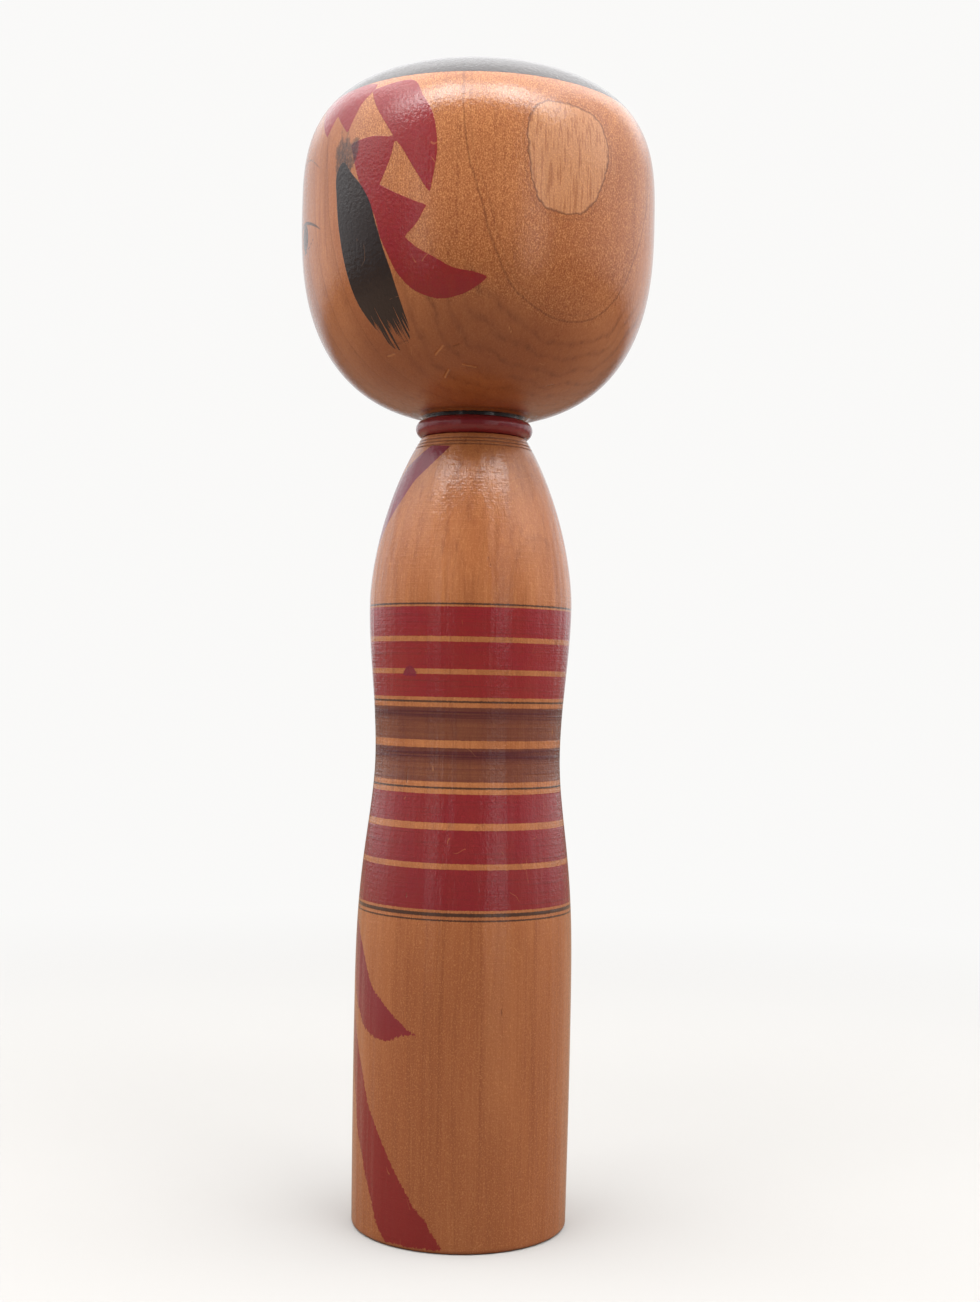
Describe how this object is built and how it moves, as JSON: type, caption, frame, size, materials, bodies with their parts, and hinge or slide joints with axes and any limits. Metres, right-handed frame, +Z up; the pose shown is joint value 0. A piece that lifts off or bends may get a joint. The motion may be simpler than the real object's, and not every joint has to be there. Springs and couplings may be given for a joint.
{
  "type": "kokeshi doll",
  "caption": "Turned wooden kokeshi doll with a large round head that turns on a waisted body, painted and lacquered, standing on a flat foot.",
  "frame": {"origin": "centre of the foot on the plane the doll stands on", "axes": "+Z up along the turning axis, -Y towards the side the face looks to, +X towards the doll's left"},
  "size_m": [0.0924, 0.0924, 0.2973],
  "materials": {
    "body_wood": "natural wood with painted bands under a glossy clear lacquer",
    "head_wood": "natural wood with painted hair and face under a glossy clear lacquer"
  },
  "bodies": {
    "body": {"body": "body_wood"},
    "head": {"head": "head_wood"}
  },
  "joints": [
    {"name": "head_turn", "type": "hinge", "parent": "body", "child": "head", "pos_m": [0, 0, 0.2093], "axis": [0, 0, 1], "continuous": true}
  ]
}
